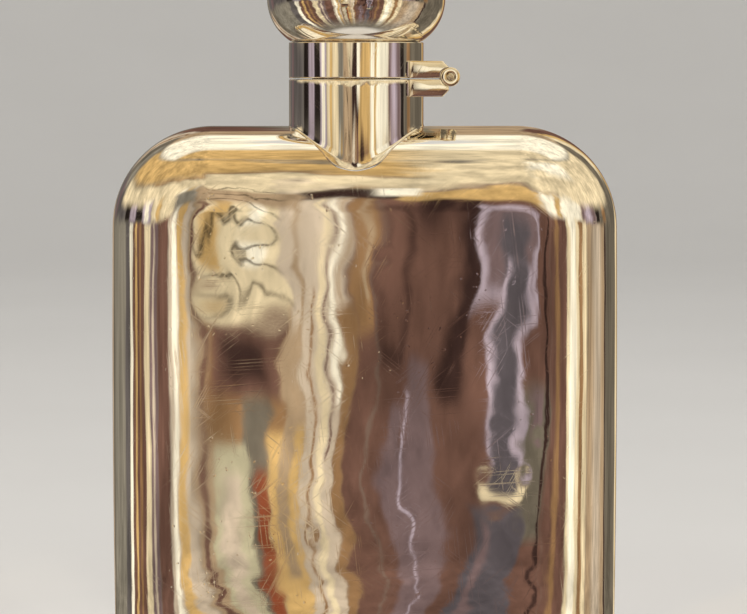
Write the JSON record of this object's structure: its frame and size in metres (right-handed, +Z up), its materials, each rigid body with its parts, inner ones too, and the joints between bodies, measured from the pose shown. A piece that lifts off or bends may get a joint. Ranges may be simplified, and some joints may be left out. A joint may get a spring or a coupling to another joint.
{
  "type": "hip flask",
  "caption": "Flat curved metal hip flask with a rounded body, a short round neck and a domed bayonet cap on a side hinge.",
  "frame": {"origin": "middle of the flat base, under the middle of the body", "axes": "+Z up from base to cap, +X towards the cap's hinge, -Y out of the gently convex front face"},
  "size_m": [0.08, 0.028, 0.134],
  "materials": {
    "body_silver": "polished silver with fine wear scratches",
    "neck_silver": "polished silver",
    "cap_silver": "polished silver with fine wear scratches",
    "hinge_silver": "polished silver, tarnished in the joints",
    "gilt_lining": "gilt, satin",
    "pin_steel": "drawn wire",
    "cork": "pressed cork"
  },
  "bodies": {
    "flask": {"body_front_shell": "body_silver", "body_back_shell": "body_silver", "base_plate": "body_silver", "neck_tube": "neck_silver", "neck_top_ring": "neck_silver", "neck_spout": "gilt_lining", "bayonet_lug_front": "gilt_lining", "bayonet_lug_rear": "gilt_lining", "hinge_bearer_neck": "hinge_silver", "hinge_knuckle_neck_2": "hinge_silver", "hinge_knuckle_neck_4": "hinge_silver", "hinge_pin": "pin_steel"},
    "cap_collar": {"cap_collar_ring": "cap_silver", "cap_floor_ring": "cap_silver", "hinge_bearer_cap": "hinge_silver", "hinge_knuckle_cap_1": "hinge_silver", "hinge_knuckle_cap_3": "hinge_silver", "hinge_knuckle_cap_5": "hinge_silver"},
    "cap_knob": {"cap_dome": "cap_silver", "dome_base_ring": "cap_silver", "bayonet_sleeve": "gilt_lining", "knob_retaining_ring": "gilt_lining", "cork_seal": "cork"}
  },
  "joints": [
    {"name": "cap_hinge", "type": "hinge", "parent": "flask", "child": "cap_collar", "pos_m": [0.0133, 0, 0.1117], "axis": [0, 1, 0], "range_deg": [0, 115]},
    {"name": "cap_twist", "type": "hinge", "parent": "cap_collar", "child": "cap_knob", "pos_m": [-0.0013, 0, 0.1117], "axis": [0, 0, -1], "range_deg": [0, 90]}
  ]
}
